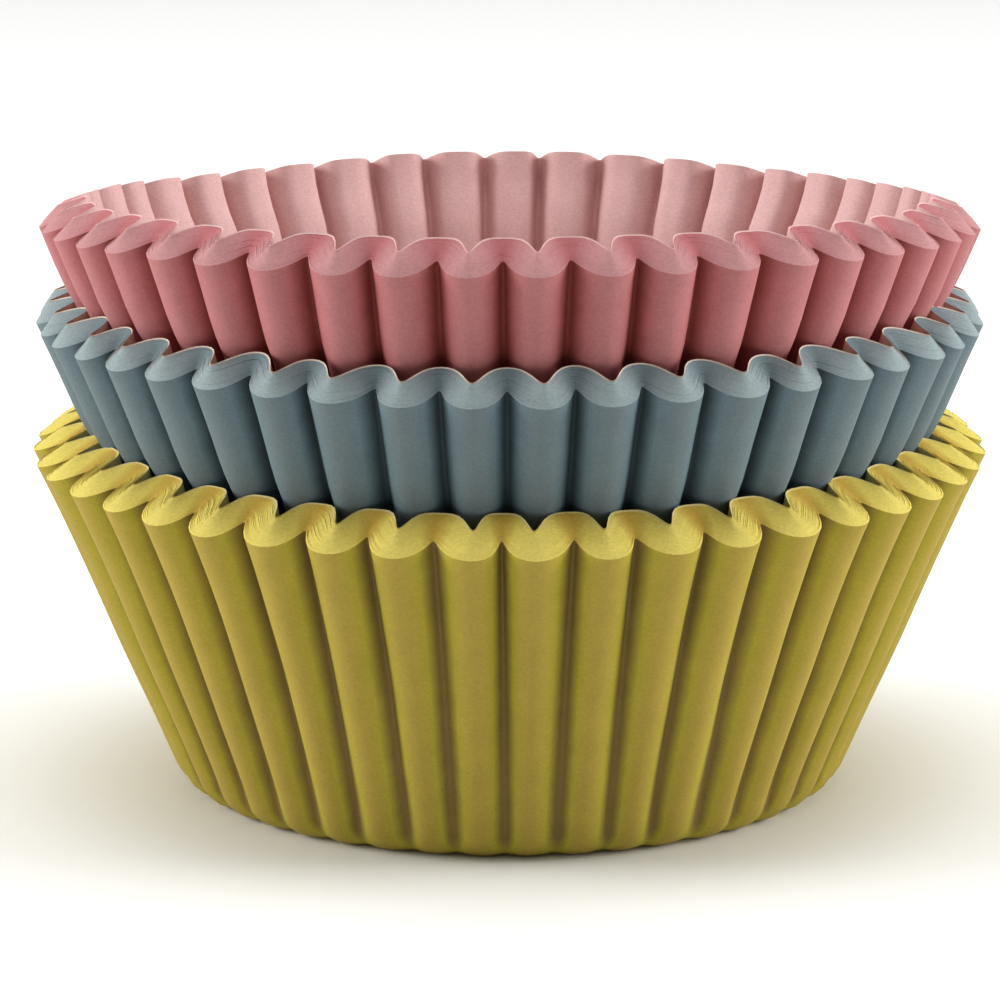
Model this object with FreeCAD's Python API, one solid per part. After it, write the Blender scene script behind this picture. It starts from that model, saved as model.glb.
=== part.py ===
import FreeCAD, Part

import math
import os

# A stack of pleated paper cupcake liners: a yellow, a blue and a pink pack, each of
# many liners nested one in another, with the blue pack standing in the yellow one and
# the pink pack in the blue one.
# Millimetres. The origin is the middle of the lowest liner's underside, +Z is up and
# -Y is the side that the pink pack leans back from.

# One liner, as the outermost of its pack
flat_radius = 25.2          # flat of the base, inside the round at its edge
corner_radius = 3.0         # round between base and wall
wall_slope = 20.6           # degrees that the wall leans out from upright
wall_length = 27.3          # up the slope, from the round to the rim
pleat_count = 44
pleat_depth = 2.8           # from ridge to valley at the rim
paper = 0.045               # thickness of one sheet

# Liners in a pack, from the outermost inwards
liners_per_pack = 20
layer_gap = 0.015           # air between two bases
rim_rise = 0.08             # each rim stands this much above the one round it
yellow_fan = 0.139          # radial step from rim to rim, where the paper springs apart
blue_fan = 0.060
pink_fan = 0.080

# How a pack sits in the one below: its valleys hang over the crests of that pack's
# innermost rim
blue_clearance = 0.43       # radial, at the crest
pink_clearance = 0.82
blue_tilt = 0.5             # degrees against the pack below, front edge up
pink_tilt = 3.2
tilt_centre_rise = 1.0      # the tilt turns about a point this far above the seat

lean = math.radians(wall_slope)
normal_out = math.cos(lean)
normal_down = math.sin(lean)
layer_step = paper + layer_gap
mean_rim_radius = flat_radius + corner_radius * normal_out + wall_length * normal_down
mean_rim_height = corner_radius * (1 - normal_down) + wall_length * normal_out
swing = pleat_depth / 2     # of the rim about its mean line, square to the wall
folds = 2 * pleat_count     # ridges and valleys by turns


def ring(radius, height, fold_swing):
    """The points where the folds cross one level, ridges and valleys by turns.

    A ridge lies fold_swing outside the mean wall, square to it, and a valley as far inside.
    """
    points = []
    for fold in range(folds):
        side = fold_swing if fold % 2 else -fold_swing
        angle = 2 * math.pi * fold / folds - math.pi / 2
        reach = radius + side * normal_out
        level = height - side * normal_down
        points.append(FreeCAD.Vector(reach * math.cos(angle), reach * math.sin(angle), level))
    return points


def skin(depth, rim_inward, rim_up):
    """Rings of one side of a sheet that lies depth inside the pack's outermost surface.

    The round at the base's edge is drawn as its middle tangent, which meets the base and
    the wall at equal lengths. The wall's folds grow from nothing there to the full swing.
    """
    bend = corner_radius - depth
    tangent = bend * math.tan((math.pi / 2 - lean) / 4)
    base = ring(flat_radius + tangent, depth, 0)
    foot = ring(
        flat_radius + bend * normal_out - tangent * normal_down,
        corner_radius - bend * normal_down - tangent * normal_out,
        0,
    )
    rim = ring(mean_rim_radius - rim_inward, mean_rim_height + rim_up, swing)
    return [base, foot, rim]


def closed_solid(rings):
    """A solid with flat faces between rings of as many points, and a flat base at each end.

    Faces share their edges. Between two plain rings each face has four corners. A face
    that ends in a ridge or a valley is warped, so it is two triangles, and the cut between
    them runs from the rim's ridge to the foot of the valley beside it.
    """
    corners = [[Part.Vertex(point) for point in points] for points in rings]
    edges = {}

    def edge(start, end):
        if (end, start) in edges:
            return edges[end, start].reversed()
        if (start, end) not in edges:
            edges[start, end] = Part.Edge(corners[start[0]][start[1]], corners[end[0]][end[1]])
        return edges[start, end]

    def face(*places):
        following = places[1:] + places[:1]
        return Part.Face(Part.Wire([edge(a, b) for a, b in zip(places, following)]))

    def is_plain(level):
        return rings[level][0].z == rings[level][1].z

    faces = []
    last = len(rings) - 1
    for level in range(last):
        for fold in range(folds):
            after = (fold + 1) % folds
            low_left, low_right = (level, fold), (level, after)
            high_right, high_left = (level + 1, after), (level + 1, fold)
            ridge_is_left = fold % 2 == 1
            if is_plain(level) and is_plain(level + 1):
                faces.append(face(low_left, low_right, high_right, high_left))
            elif ridge_is_left == is_plain(level + 1):
                faces.append(face(low_left, low_right, high_right))
                faces.append(face(low_left, high_right, high_left))
            else:
                faces.append(face(low_left, low_right, high_left))
                faces.append(face(low_right, high_right, high_left))
    faces.append(face(*[(0, fold) for fold in reversed(range(folds))]))
    faces.append(face(*[(last, fold) for fold in range(folds)]))
    return Part.Solid(Part.Shell(faces))


def liner(layer, fan):
    """One liner of a pack, counted from the outermost: outside, rim and inside."""
    depth = layer * layer_step
    inward = layer * fan
    upward = layer * rim_rise
    outside = skin(depth, inward, upward)
    inside = skin(depth + paper, inward + paper * normal_out, upward + paper * normal_down)
    return closed_solid(outside + inside[::-1])


def innermost_crest(fan):
    """Radius and height, above its pack's base, of the rim's crests inside the innermost liner."""
    layer = liners_per_pack - 1
    radius = mean_rim_radius - layer * fan - (paper + swing) * normal_out
    height = mean_rim_height + layer * rim_rise + (paper + swing) * normal_down
    return radius, height


def valley_height(radius):
    """Height on an outermost liner where its valleys have this radius."""
    foot_point = skin(0, 0, 0)[1][0]
    foot_radius = math.hypot(foot_point.x, foot_point.y)
    rim_radius = mean_rim_radius - swing * normal_out
    rim_height = mean_rim_height + swing * normal_down
    share = (radius - foot_radius) / (rim_radius - foot_radius)
    return foot_point.z + share * (rim_height - foot_point.z)


def seated_in(fan, clearance, tilt):
    """The place of a pack in the frame of the one that it stands in, whose fan this is.

    It is lifted until its valleys clear the crests, then tilted about a cross line.
    """
    radius, seat = innermost_crest(fan)
    lift = seat - valley_height(radius - clearance)
    turn = FreeCAD.Rotation(FreeCAD.Vector(1, 0, 0), -tilt)
    centre = FreeCAD.Vector(0, 0, seat + tilt_centre_rise - lift)
    return FreeCAD.Placement(FreeCAD.Vector(0, 0, lift), turn, centre)


def make_pack(colour, fan, place):
    """Writes the liners of one pack."""
    for layer in range(liners_per_pack):
        solid = liner(layer, fan)
        solid.Placement = place
        solid.exportStep(f"parts/{colour}_liner_{layer + 1:02d}.step")


os.makedirs("parts", exist_ok=True)

yellow_place = FreeCAD.Placement()
blue_place = yellow_place * seated_in(yellow_fan, blue_clearance, blue_tilt)
pink_place = blue_place * seated_in(blue_fan, pink_clearance, pink_tilt)

make_pack("yellow", yellow_fan, yellow_place)
make_pack("blue", blue_fan, blue_place)
make_pack("pink", pink_fan, pink_place)
print("blue stands at", blue_place.Base, "and pink at", pink_place.Base)
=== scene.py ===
import math

import bpy
import numpy as np
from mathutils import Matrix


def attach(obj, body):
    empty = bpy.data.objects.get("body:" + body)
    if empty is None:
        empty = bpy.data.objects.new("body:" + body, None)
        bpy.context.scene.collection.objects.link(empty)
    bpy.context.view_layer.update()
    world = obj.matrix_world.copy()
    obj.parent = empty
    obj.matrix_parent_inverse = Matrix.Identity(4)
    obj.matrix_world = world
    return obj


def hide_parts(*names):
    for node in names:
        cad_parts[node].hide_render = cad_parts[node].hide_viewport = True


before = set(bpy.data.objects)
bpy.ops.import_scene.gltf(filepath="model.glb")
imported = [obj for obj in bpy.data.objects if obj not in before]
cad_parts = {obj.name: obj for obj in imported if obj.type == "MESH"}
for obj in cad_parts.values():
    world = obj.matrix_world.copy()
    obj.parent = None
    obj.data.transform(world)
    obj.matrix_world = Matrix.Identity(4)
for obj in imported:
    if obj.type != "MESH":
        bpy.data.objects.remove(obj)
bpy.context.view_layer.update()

# A stack of pleated paper cupcake liners: yellow, blue and pink packs standing one in
# another. Shapes are worked out in millimetres and put into meshes in metres.
# A liner is a wavy sheet carried round the stack's axis. Its rows run from the middle of
# the base, over the round at the base's edge and up the wall to the rim, and back down
# the other side of the paper. The front is towards -Y.

# One liner, as the outermost of its pack
FLAT_RADIUS = 25.2          # flat of the base
CORNER_RADIUS = 3.0         # round between base and wall
WALL_LEAN = math.radians(19.6)
WALL_LENGTH = 27.1          # up the slope
PLEATS = 44
PAPER = 0.045
RIDGE_SWING = 1.29          # rim's ridges and valleys, square to the mean wall
FOOT_SWING = 0.30           # the same where the wall leaves the base's round
EDGE_SWING = 0.10           # the same at the edge of the flat base
CORNER_TURN = math.pi / 2 - WALL_LEAN
OUT, DOWN = math.cos(WALL_LEAN), math.sin(WALL_LEAN)

# A pack of them
LINERS = 20
BASE_STEP = 0.06            # from one base to the next
RIM_RISE = 0.08             # from one rim up to the next
RIM_FILL = 0.970            # share of a rim's step that its pressed, cut edge fills
CUT_DEPTH = 1.5             # how far down from the rim the edges are pressed open
ROLLED = 0.20               # how far the outermost ridges' edges are rolled down
INNER_SIDE = 0.8            # share of a step that the shape changes through one sheet
TUCK = 0.25                 # unseen liners stand this far in from the outermost one
LOOSE = 0.5                 # the innermost one stands this far in from the rest
SEAT_REACH = 2.5            # a pack's pleats are pressed in up to this far above its seat
SEAT_FADE = 4.0             # and over this length the press fades

# Shares of the wall, from its rim down or from its foot up, over which a change comes in
TUCK_TOP = 0.85
TUCK_FADE = 0.4
LOOSE_FADE = 0.3
DENT_FADE = 0.25

# How a change grows up the wall, as a power of the share of the way
LEAVE_POWER = 1.5           # the liners' spreading
FLARE_POWER = 3.5
LIFT_POWER = 2              # the rim's line
DIP_POWER = 6               # dips in the rim that a whole pack shares
EDGE_POWER = 12             # dips of one liner, and the rolled edges

# How uneven the paper is
NARROWEST, WIDEST = 0.88, 1.12      # steps between rims, against the mean
RIM_STRAY, FOOT_STRAY = 0.26, 0.20  # folds' places, in radians of a pleat's turn
FULL_SWING, SWING_LOSS = 1.04, 0.16
DENT, DENT_LEVELS = 0.05, 5
PACK_DIP, OWN_DIP = 0.22, 0.05

# How fine the surfaces are
COLUMNS = 14 * PLEATS
SEEN_ROWS = (0, 0.6, 0.96, 1), np.linspace(0, 1, 5)[1:], np.linspace(0, 1, 17)[1:]
HIDDEN_ROWS = (0, 1), (1,), (0.45, 0.85, 1)

# Sides of the paper, as the order of a piece's materials
PRINTED, CUT_EDGE, INNER = 0, 1, 2

# Sizes in the paper
CLOUD = 2.222               # a cloud's width, where fibres lie thick or thin
FLECK = 0.1538              # a fibre fleck's height
FLECK_STRETCH = 0.6         # its height as a share of its length
GRAIN = 0.03                # height of the grain that stands up from the surface

# The packs. A pair is for the outermost and the innermost sheet, and a line runs from the
# front by eighths of a turn to the back.
# fan: from one rim in to the next
# skews, flats: how the folds crowd towards their valleys, and how flat their ridges are
# flare: how far the rim opens past a straight wall
# rim_line, foot_line: how far the rim is raised, and the foot pressed in
# lift, forward, tilt: where the pack stands, its front edge raised by the tilt in degrees
# twist: how far it is turned about its axis, in pleats
# seat: how far up the wall the rim of the pack below is, at the front and at the back
# pressed_in: how far the pleats are pressed in there
# printed, edge, inner: sRGB colours of a side's valleys, flanks and ridges. They hold painted
# shade: the valleys are darker outside, and the ridges are darker inside, where they are
# grooves. The yellow print's flanks are lighter than its browner ridge middles, as painted
# side light. The edge colours are paler than the print, partly for the paper's pale core and
# partly as painted light from above.
PACKS = {
    "yellow": dict(
        seed=11, inside_seen=False, fan=0.124,
        skews=(0.66, -0.50), flats=(0.09, -0.25), flare=0.85,
        rim_line=(0.1, 0.35, 0.75, 0.9, 0.9), foot_line=(0, 0.25, 0.5, 0.5, 0.5),
        lift=0, forward=0, tilt=0, twist=-0.077, seat=(0, 0), pressed_in=0,
        printed=("#7B6633", "#A99C31", "#A38E3A"),
        edge=("#C3A041", "#E0CC61", "#DDCB66"),
        inner=("#DCCB86", "#DCCB86", "#B79E50"),
    ),
    "blue": dict(
        seed=23, inside_seen=False, fan=0.060,
        skews=(0.66, -0.35), flats=(0.09, -0.12), flare=0.42,
        rim_line=(0.1, 0.1, 0.1, 0.3, 0.4), foot_line=(0, 0, 0, 0, 0),
        lift=11.255, forward=0.168, tilt=0.5, twist=-0.02, seat=(17.2, 17.8), pressed_in=0.5,
        printed=("#344147", "#677A82", "#677478"),
        edge=("#6F8085", "#879599", "#93A1A2"),
        inner=("#D8C8B5", "#D8C8B5", "#A1887A"),
    ),
    "pink": dict(
        seed=37, inside_seen=True, fan=0.080,
        skews=(0.62, -0.60), flats=(0.09, -0.25), flare=0.08,
        rim_line=(0.1, 0.1, -0.1, -0.75, 0.05), foot_line=(0, 0, 0, 0, 0),
        lift=19.088, forward=1.369, tilt=3.7, twist=-0.09, seat=(18.5, 23.0), pressed_in=0.5,
        printed=("#873C35", "#B26868", "#B17171"),
        edge=("#AE6668", "#B3797B", "#BA8787"),
        inner=("#D3ACA9", "#CFA7A3", "#C99693"),
    ),
}


def smooth(x):
    """Rises from 0 to 1 as x does, level at both ends: three x squared less two x cubed."""
    x = np.clip(x, 0, 1)
    return x * x * (3 - 2 * x)


def from_to(ends, share):
    """The value this share of the way from the first of two ends to the second."""
    return ends[0] + (ends[1] - ends[0]) * share


def round_the_rim(values, turns):
    """Values spaced evenly round the axis, joined smoothly. turns is 0 to 1 once round."""
    place = (turns % 1) * len(values)
    before = np.floor(place).astype(int) % len(values)
    after = (before + 1) % len(values)
    share = smooth(place - np.floor(place))
    return values[before] * (1 - share) + values[after] * share


def front_to_back(values, turns):
    """A sum of cosines of the angle from the front that meets the values, alike on both sides."""
    orders = np.arange(len(values))
    angles = math.pi * orders / (len(values) - 1)
    parts = np.linalg.solve(np.cos(np.outer(angles, orders)), np.array(values, float))
    return np.tensordot(parts, np.cos(2 * math.pi * np.multiply.outer(orders, turns)), 1)


def pleat_swing(from_middle, radius):
    """How far the pleats swing, from the paper that the cone leaves over.

    Flat, a row's girth grows with its way from the middle. Its radius in the cup is less,
    and the share left over, e, goes into a wave of height 2 r / pleats * sqrt(e (1 + 3/4 e)).
    """
    spare = np.maximum(from_middle / radius - 1, 0)
    return 2 * radius / PLEATS * np.sqrt(spare * (1 + 0.75 * spare))


def swing_up_the_wall(share):
    """The pleats' swing from the foot of the wall, share 0, to its rim, share 1.

    Paper left over gives its growth. It is drawn so that it meets the foot's and the
    rim's swings: the squares of a first part that fades and of the growth are summed.
    """
    climb = share * WALL_LENGTH
    outline = FLAT_RADIUS + CORNER_RADIUS * OUT + climb * DOWN
    way = FLAT_RADIUS + CORNER_RADIUS * CORNER_TURN + climb
    rim_outline = FLAT_RADIUS + CORNER_RADIUS * OUT + WALL_LENGTH * DOWN
    rim_way = FLAT_RADIUS + CORNER_RADIUS * CORNER_TURN + WALL_LENGTH
    growth = pleat_swing(way, outline) * RIDGE_SWING / pleat_swing(rim_way, rim_outline)
    return np.sqrt(growth ** 2 + (FOOT_SWING * (1 - share)) ** 2)


def pack_waver(seed):
    """The unevenness that all liners of a pack share, since they are pressed as one."""
    rng = np.random.default_rng(seed)
    steps = rng.uniform(NARROWEST, WIDEST, LINERS)
    return dict(
        spread=np.concatenate([[0], np.cumsum(steps / steps.mean())]),
        rim_strays=rng.normal(0, RIM_STRAY, 2 * PLEATS),
        foot_strays=rng.normal(0, FOOT_STRAY, 2 * PLEATS),
        swings=FULL_SWING - SWING_LOSS * rng.random(PLEATS),
        dents=rng.normal(0, DENT, (DENT_LEVELS, PLEATS)),
        dips=PACK_DIP * rng.random(PLEATS // 2),
    )


def meridian(pack, layer, inside, rows):
    """One side of a liner's mean section, from the middle of the base to the rim.

    Gives for each row: radius, height, the outward normal's two parts, the pleats' swing,
    and its share of the way up the wall. The base is a line, its edge an arc, and the wall
    a slanted line that opens by the flare times a power of the share. Up the wall a liner
    leaves the one round it by the fan, and near the rim the sheet thickens until its
    slanted cut edge nearly fills the step.
    """
    base, corner, wall = (np.asarray(x, float) for x in rows)
    angle = corner * CORNER_TURN
    climb = wall * WALL_LENGTH
    spread = pack["waver"]["spread"]
    step = spread[layer + 1] - spread[layer]
    sheet = PAPER if inside else 0
    loose = LOOSE if layer == LINERS - 1 and pack["inside_seen"] else 0
    tucked = 0 if layer == 0 or loose else TUCK
    depth = layer * BASE_STEP + loose + sheet
    bend = CORNER_RADIUS - depth

    pressed = smooth((climb - WALL_LENGTH) / CUT_DEPTH + 1) if inside else 0 * wall
    edge = pressed * (RIM_FILL * step * pack["fan"] / OUT - PAPER)
    rise = pressed * RIM_FILL * step * RIM_RISE
    leave = wall ** LEAVE_POWER
    inward = layer * BASE_STEP + sheet + edge + loose * smooth((1 - wall) / LOOSE_FADE)
    inward = inward + tucked * smooth((TUCK_TOP - wall) / TUCK_FADE)
    radius = [
        base * FLAT_RADIUS,
        FLAT_RADIUS + bend * np.sin(angle) - tucked * corner,
        FLAT_RADIUS + (CORNER_RADIUS - inward) * OUT + climb * DOWN
        - leave * (spread[layer] * pack["fan"] - layer * BASE_STEP * OUT)
        + pack["flare"] * wall ** FLARE_POWER,
    ]
    height = [
        0 * base + depth,
        CORNER_RADIUS - bend * np.cos(angle),
        CORNER_RADIUS - (CORNER_RADIUS - inward) * DOWN + climb * OUT + rise
        + leave * (spread[layer] * RIM_RISE - layer * BASE_STEP * DOWN),
    ]
    out = [0 * base, np.sin(angle), 0 * wall + OUT]
    up = [0 * base - 1, -np.cos(angle), 0 * wall - DOWN]
    swing = [
        EDGE_SWING * base ** 4,
        EDGE_SWING + (FOOT_SWING - EDGE_SWING) * corner ** 2,
        swing_up_the_wall(wall),
    ]
    share = [0 * base, 0 * corner, wall]
    return tuple(np.concatenate(x)[:, None] for x in (radius, height, out, up, swing, share))


def pleated(pack, layers_in, share, swing, turns, fold):
    """Angles about the axis, and how far each point swings square to the mean section.

    As t runs once round for each pleat, the sheet swings by cos t + b (1 - cos 2t), and
    its angle moves on by t + c sin t. In the outermost sheet the skew c and the flatness b
    are positive, for broad flat ridges and narrow valleys. They fall from sheet to sheet
    until the innermost one has broad flat valleys and narrow ridges, and both halve
    towards the foot of the wall.
    """
    waver = pack["waver"]
    boxed = 0.5 + 0.5 * share
    skew = boxed * from_to(pack["skews"], layers_in)
    flat = boxed * from_to(pack["flats"], layers_in)
    stray = share * round_the_rim(waver["rim_strays"], turns)
    stray = stray + (1 - share) * round_the_rim(waver["foot_strays"], turns)
    shift = skew * np.sin(fold) + stray + 2 * math.pi * pack["twist"]
    angle = 2 * math.pi * turns + shift / PLEATS - math.pi / 2
    wave = np.cos(fold) + flat * (1 - np.cos(2 * fold))
    return angle, wave * swing * round_the_rim(waver["swings"], turns)


def dented(pack, share, turns):
    """Soft dents: each pleat stands out or in at even levels of the wall, joined smoothly."""
    dents = pack["waver"]["dents"]
    level = share * (DENT_LEVELS - 1)
    below = np.minimum(np.floor(level).astype(int), DENT_LEVELS - 2)
    levels = np.stack([round_the_rim(row, turns[0]) for row in dents])
    between = smooth(level - below)
    dent = levels[below[:, 0]] * (1 - between) + levels[below[:, 0] + 1] * between
    return dent * smooth(share / DENT_FADE)


def side_points(pack, layer, inside, rows):
    """Points of one side of a liner, rows by columns, and each point's place in its fold.

    That place is 1 on a ridge and -1 in a valley. The base counts as the nearer of the two.
    The wall is pressed in at the seat and the foot, and the rim is lifted along its line.
    Down the slope it loses the pack's dips, the liner's own, and the roll of the ridges.
    """
    radius, height, out, up, swing, share = meridian(pack, layer, inside, rows)
    turns = np.arange(COLUMNS)[None, :] / COLUMNS
    fold = 2 * math.pi * PLEATS * turns + math.pi
    layers_in = (pack["waver"]["spread"][layer] + (INNER_SIDE if inside else 0)) / LINERS
    angle, wave = pleated(pack, layers_in, share, swing, turns, fold)
    wave = wave + dented(pack, share, turns)

    above_seat = share * WALL_LENGTH - front_to_back(pack["seat"], turns)
    squeeze = pack["pressed_in"] * smooth(share * 3) * smooth((SEAT_REACH - above_seat) / SEAT_FADE)
    narrowed = front_to_back(pack["foot_line"], turns) * (1 - smooth(share * 2))
    narrowed = narrowed * np.minimum(radius / FLAT_RADIUS, 1)
    lifted = front_to_back(pack["rim_line"], turns) * share ** LIFT_POWER

    rng = np.random.default_rng([pack["seed"], layer])
    own_dips = OWN_DIP * rng.random(PLEATS) if 0 < layer < LINERS - 1 else np.zeros(PLEATS)
    rolled = ROLLED * (1 - layers_in) ** 3 * (1 + np.cos(fold)) / 2
    dip = round_the_rim(pack["waver"]["dips"], turns) * share ** DIP_POWER
    dip = dip + (round_the_rim(own_dips, turns) + rolled) * share ** EDGE_POWER

    reach = radius + wave * out - squeeze - narrowed - dip * DOWN
    rise = np.maximum(height + wave * up, height.min()) - dip * OUT + lifted
    points = np.stack([reach * np.cos(angle), reach * np.sin(angle), rise], axis=-1)
    in_pleats = smooth(swing / FOOT_SWING)
    return points, in_pleats * np.cos(fold) + (1 - in_pleats) * (-1 if inside else 1)


def stand(pack, points):
    """Lifts and tilts a pack's points, its front edge up, to where the pack stands."""
    turn = math.radians(pack["tilt"])
    x, y, z = points[..., 0], points[..., 1], points[..., 2]
    back = y * math.cos(turn) + z * math.sin(turn) - pack["forward"]
    rise = z * math.cos(turn) - y * math.sin(turn) + pack["lift"]
    return np.stack([x, back, rise], axis=-1)


def liner_mesh(name, pack, layer, rows):
    """A closed sheet: rows out and up one side, over the cut edge, and down the other.

    The middle of the base is one point on each side, with a fan of triangles round it.
    """
    outside, outside_folds = side_points(pack, layer, False, rows)
    inside, inside_folds = side_points(pack, layer, True, rows)
    grid = stand(pack, np.concatenate([outside, inside[::-1]])) / 1000
    folds = np.concatenate([outside_folds, inside_folds[::-1]])
    count = len(grid)
    corners = 1 + np.arange((count - 2) * COLUMNS).reshape(count - 2, COLUMNS)
    after = np.roll(corners, -1, axis=1)
    last = 1 + (count - 2) * COLUMNS
    points = np.concatenate([grid[:1, 0], grid[1:-1].reshape(-1, 3), grid[-1:, 0]])
    folds = np.concatenate([[0], folds[1:-1].ravel(), [0]])

    quads = np.stack([corners[:-1], after[:-1], after[1:], corners[1:]], axis=-1)
    first_fan = np.stack([np.zeros(COLUMNS, int), after[0], corners[0]], axis=-1)
    last_fan = np.stack([np.full(COLUMNS, last), corners[-1], after[-1]], axis=-1)
    loops = np.concatenate([first_fan.ravel(), quads.ravel(), last_fan.ravel()])
    sizes = np.repeat([3, 4, 3], [COLUMNS, (count - 3) * COLUMNS, COLUMNS])
    starts = np.cumsum(sizes) - sizes
    sides = np.repeat(
        [PRINTED, CUT_EDGE, INNER],
        [(len(outside) - 1) * COLUMNS, COLUMNS, (len(inside) - 1) * COLUMNS],
    )

    mesh = bpy.data.meshes.new(name)
    mesh.vertices.add(len(points))
    mesh.vertices.foreach_set("co", points.ravel())
    mesh.loops.add(len(loops))
    mesh.loops.foreach_set("vertex_index", loops.astype(np.int32))
    mesh.polygons.add(len(sizes))
    mesh.polygons.foreach_set("loop_start", starts.astype(np.int32))
    mesh.polygons.foreach_set("material_index", sides.astype(np.int32))
    mesh.polygons.foreach_set("use_smooth", np.ones(len(sizes), bool))
    mesh.update(calc_edges=True)
    # The place in the fold also steers the materials' painted shade in the hollows.
    mesh.attributes.new("fold", "FLOAT", "POINT").data.foreach_set("value", folds)

    # Both borders of the cut edge are sharp.
    ends = np.empty(2 * len(mesh.edges), np.int32)
    mesh.edges.foreach_get("vertices", ends)
    row_of = np.where((ends > 0) & (ends < last), (ends - 1) // COLUMNS, -1).reshape(-1, 2)
    rims = len(outside) - 2, len(outside) - 1
    sharp = (row_of == rims[0]).all(axis=1) | (row_of == rims[1]).all(axis=1)
    mesh.attributes.new("sharp_edge", "BOOLEAN", "EDGE").data.foreach_set("value", sharp)
    return mesh


def linear(hex_colour):
    """A sRGB hex colour as linear red, green, blue and alpha."""
    parts = [int(hex_colour[i:i + 2], 16) / 255 for i in (1, 3, 5)]
    return [c / 12.92 if c <= 0.04045 else ((c + 0.055) / 1.055) ** 2.4 for c in parts] + [1]


def add(tree, kind, settings=(), links=()):
    """Adds a node, sets its properties and its sockets by name or place, and links its inputs."""
    node = tree.nodes.new(kind)
    for key, value in dict(settings).items():
        if isinstance(key, int) or key in node.inputs:
            node.inputs[key].default_value = value
        else:
            setattr(node, key, value)
    for key, source in dict(links).items():
        tree.links.new(source, node.inputs[key])
    return node


def greaseproof(name, colours, stops, roughness):
    """Greaseproof paper: dense, matt, and cloudy where its fibres lie thick or thin.

    Its colour runs from the valleys over the flanks to the ridges, and this is painted light
    and shade: each side is darker where its hollows lie in shade (the valleys outside, and
    inside the grooves behind the ridges), and the flank and ridge colours are set for the side
    lights. The stops are the places of these three on the way, from 0 to 1, and the clouds
    shift them a little. Clouds and fibre fleck also darken or lighten the colour at random,
    and a faint grain of the same sizes stands up from the surface.
    """
    shifted = 0.12
    material = bpy.data.materials.new(name)
    material.use_nodes = True
    tree = material.node_tree
    tree.nodes.clear()
    place = add(tree, "ShaderNodeTexCoord").outputs["Object"]
    cloud = add(
        tree, "ShaderNodeTexNoise", {"Scale": 1000 / CLOUD, "Detail": 3.0}, {"Vector": place}
    )
    drawn = add(
        tree, "ShaderNodeMapping", {"Scale": (FLECK_STRETCH, FLECK_STRETCH, 1.0)},
        {"Vector": place},
    )
    fleck = add(
        tree, "ShaderNodeTexNoise", {"Scale": 1000 / FLECK, "Detail": 2.0},
        {"Vector": drawn.outputs["Vector"]},
    )
    fold = add(tree, "ShaderNodeAttribute", {"attribute_name": "fold"}).outputs["Fac"]
    along = add(
        tree, "ShaderNodeMapRange", {"From Min": -1.0, "From Max": 1.0}, {"Value": fold}
    ).outputs["Result"]
    moved = add(
        tree, "ShaderNodeMath", {"operation": "MULTIPLY_ADD", 1: shifted, 2: -shifted / 2},
        {0: cloud.outputs["Fac"]},
    ).outputs[0]
    along = add(
        tree, "ShaderNodeMath", {"operation": "ADD", "use_clamp": True}, {0: along, 1: moved}
    )
    # Painted light and shade: this ramp paints the fold colours, darkest in the hollows that lie in
    # shade.
    painted_shade_ramp = add(tree, "ShaderNodeValToRGB", {}, {"Fac": along.outputs[0]})
    marks = painted_shade_ramp.color_ramp.elements
    marks[0].position, marks[0].color = stops[0], linear(colours[0])
    marks[1].position, marks[1].color = stops[2], linear(colours[2])
    marks.new(stops[1]).color = linear(colours[1])
    grain = add(
        tree, "ShaderNodeMath", {"operation": "MULTIPLY_ADD", 1: 0.5},
        {0: cloud.outputs["Fac"], 2: fleck.outputs["Fac"]},
    ).outputs[0]
    shade = add(
        tree, "ShaderNodeMapRange",
        {"From Min": 0.45, "From Max": 1.05, "To Min": 0.88, "To Max": 1.12}, {"Value": grain},
    ).outputs["Result"]
    tint = add(
        tree, "ShaderNodeVectorMath", {"operation": "SCALE"},
        {"Vector": painted_shade_ramp.outputs["Color"], "Scale": shade},
    ).outputs["Vector"]
    bump = add(
        tree, "ShaderNodeBump", {"Strength": 0.2, "Distance": GRAIN / 1000}, {"Height": grain}
    )
    surface = add(
        tree, "ShaderNodeBsdfPrincipled", {"Roughness": roughness, "Specular IOR Level": 0.2},
        {"Base Color": tint, "Normal": bump.outputs["Normal"]},
    )
    add(tree, "ShaderNodeOutputMaterial", {}, {"Surface": surface.outputs["BSDF"]})
    return material


def make_pack(name):
    """All liners of a pack. Only the outermost and the top one's innermost show their walls."""
    pack = dict(PACKS[name], waver=pack_waver(PACKS[name]["seed"]))
    # The printed side has a faint soft sheen, the cut edge is dull with open fibres, and
    # the unprinted inside is pale and lies between them.
    # Each side's colours hold painted shade in its hollows.
    printed = greaseproof(
        f"{name} printed greaseproof paper", pack["printed"], (0.10, 0.58, 0.97), 0.7
    )
    # The cut edge's paler colours are partly the paper's pale core and partly painted light from
    # above.
    edge = greaseproof(f"{name} greaseproof paper cut edge", pack["edge"], (0.0, 0.4, 1.0), 0.85)
    inner = greaseproof(f"{name} greaseproof paper inside", pack["inner"], (0.3, 0.65, 1.0), 0.75)
    innermost = LINERS - 1
    for layer in range(LINERS):
        node = f"{name}_liner_{layer + 1:02d}"
        sheet = f"{name}_sheet_{layer + 1:02d}"
        seen = layer == 0 or layer == innermost and pack["inside_seen"]
        mesh = liner_mesh(sheet, pack, layer, SEEN_ROWS if seen else HIDDEN_ROWS)
        for material in (printed, inner if layer == innermost else edge, inner):
            mesh.materials.append(material)
        piece = bpy.data.objects.new(sheet, mesh)
        bpy.context.scene.collection.objects.link(piece)
        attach(piece, "root")
        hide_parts(node)


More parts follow.
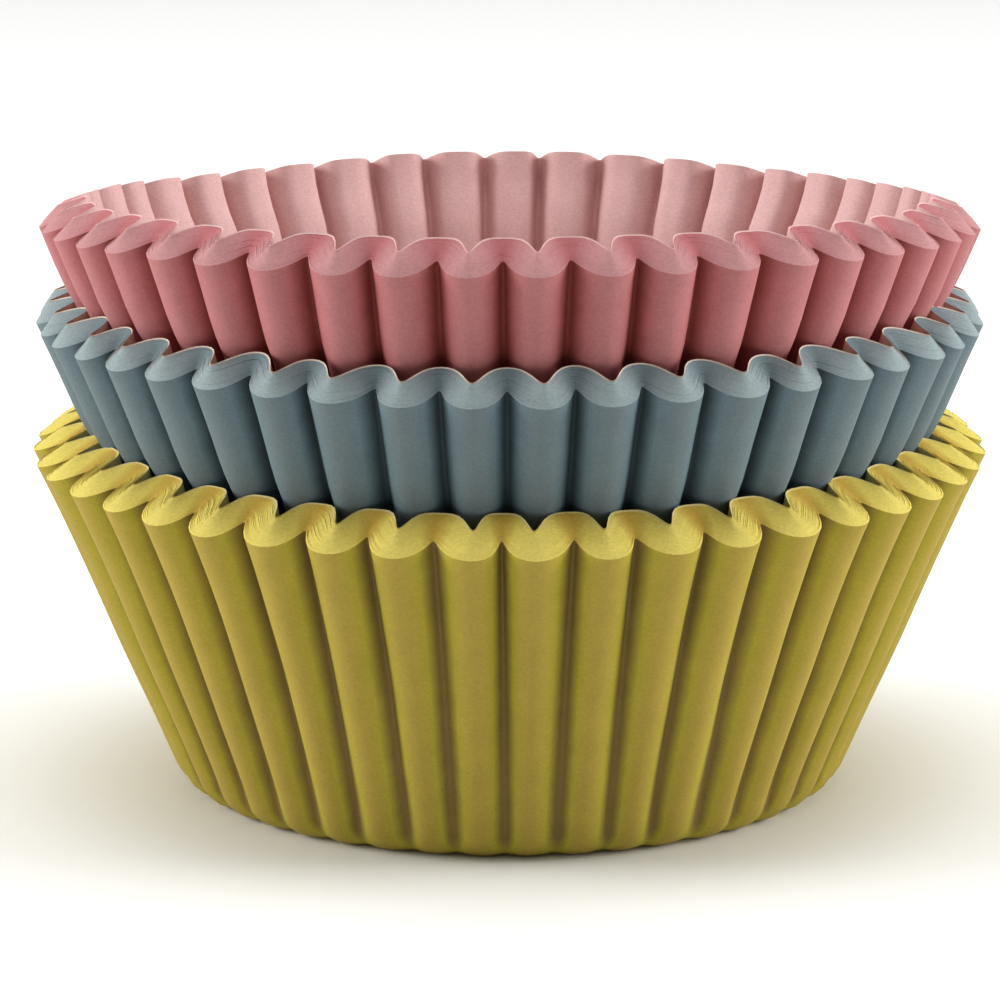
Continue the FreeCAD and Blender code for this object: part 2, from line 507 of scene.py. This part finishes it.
def area_light(name, size, power, place, target):
    """A square softbox that faces a point. Metres and watts."""
    lamp = bpy.data.lights.new(name, "AREA")
    lamp.size = size
    lamp.energy = power
    light = bpy.data.objects.new(name, lamp)
    light.location = place
    way = np.subtract(target, place)
    across = math.hypot(way[0], way[1])
    heading = math.atan2(way[1], way[0]) - math.pi / 2
    light.rotation_euler = (math.atan2(across, -way[2]), 0, heading)
    bpy.context.scene.collection.objects.link(light)


def make_studio():
    """A plain white floor, a softbox overhead and one at each side, in a white room. Metres.

    The floor lies a hair under the base, so that the two don't share a plane.
    """
    half_width, hair = 6.0, 0.00002
    signs = (-1, -1), (1, -1), (1, 1), (-1, 1)
    corners = [(x * half_width, y * half_width, -hair) for x, y in signs]
    mesh = bpy.data.meshes.new("floor")
    mesh.from_pydata(corners, [], [(0, 1, 2, 3)])
    floor = bpy.data.objects.new("floor", mesh)
    bpy.context.scene.collection.objects.link(floor)
    paint = bpy.data.materials.new("white studio floor")
    paint.use_nodes = True
    surface = paint.node_tree.nodes["Principled BSDF"]
    surface.inputs["Base Color"].default_value = linear("#F7F7F5")
    surface.inputs["Roughness"].default_value = 0.9
    mesh.materials.append(paint)

    area_light("overhead_softbox", size=0.8, power=6.2, place=(0, 0.05, 0.8), target=(0, 0, 0))
    for side, sign in (("left", -1), ("right", 1)):
        place = (sign * 0.85, 0.03, 0.28)
        area_light(f"{side}_softbox", size=0.5, power=6.8, place=place, target=(0, 0, 0.03))
    world = bpy.data.worlds.new("white room")
    world.use_nodes = True
    background = world.node_tree.nodes["Background"]
    background.inputs["Color"].default_value = (1, 1, 1, 1)
    background.inputs["Strength"].default_value = 0.19
    bpy.context.scene.world = world
    bpy.context.scene.view_settings.view_transform = "Standard"


def make_camera():
    """Stands in front of the stack, in metres, and looks a little down on it."""
    distance, height = 0.450, 0.1247
    pitch = math.radians(12.75)
    focal_pixels, picture_pixels, axis_pixel = 5601, 1000, 509.4
    lens = bpy.data.cameras.new("camera")
    lens.sensor_width = 36
    lens.lens = focal_pixels / picture_pixels * lens.sensor_width
    lens.shift_x = (picture_pixels / 2 - axis_pixel) / picture_pixels
    lens.clip_start = 0.01
    camera = bpy.data.objects.new("camera", lens)
    camera.location = (0, -distance, height)
    camera.rotation_euler = (math.pi / 2 - pitch, 0, 0)
    bpy.context.scene.collection.objects.link(camera)
    bpy.context.scene.camera = camera


make_camera()
make_studio()
for colour in PACKS:
    make_pack(colour)
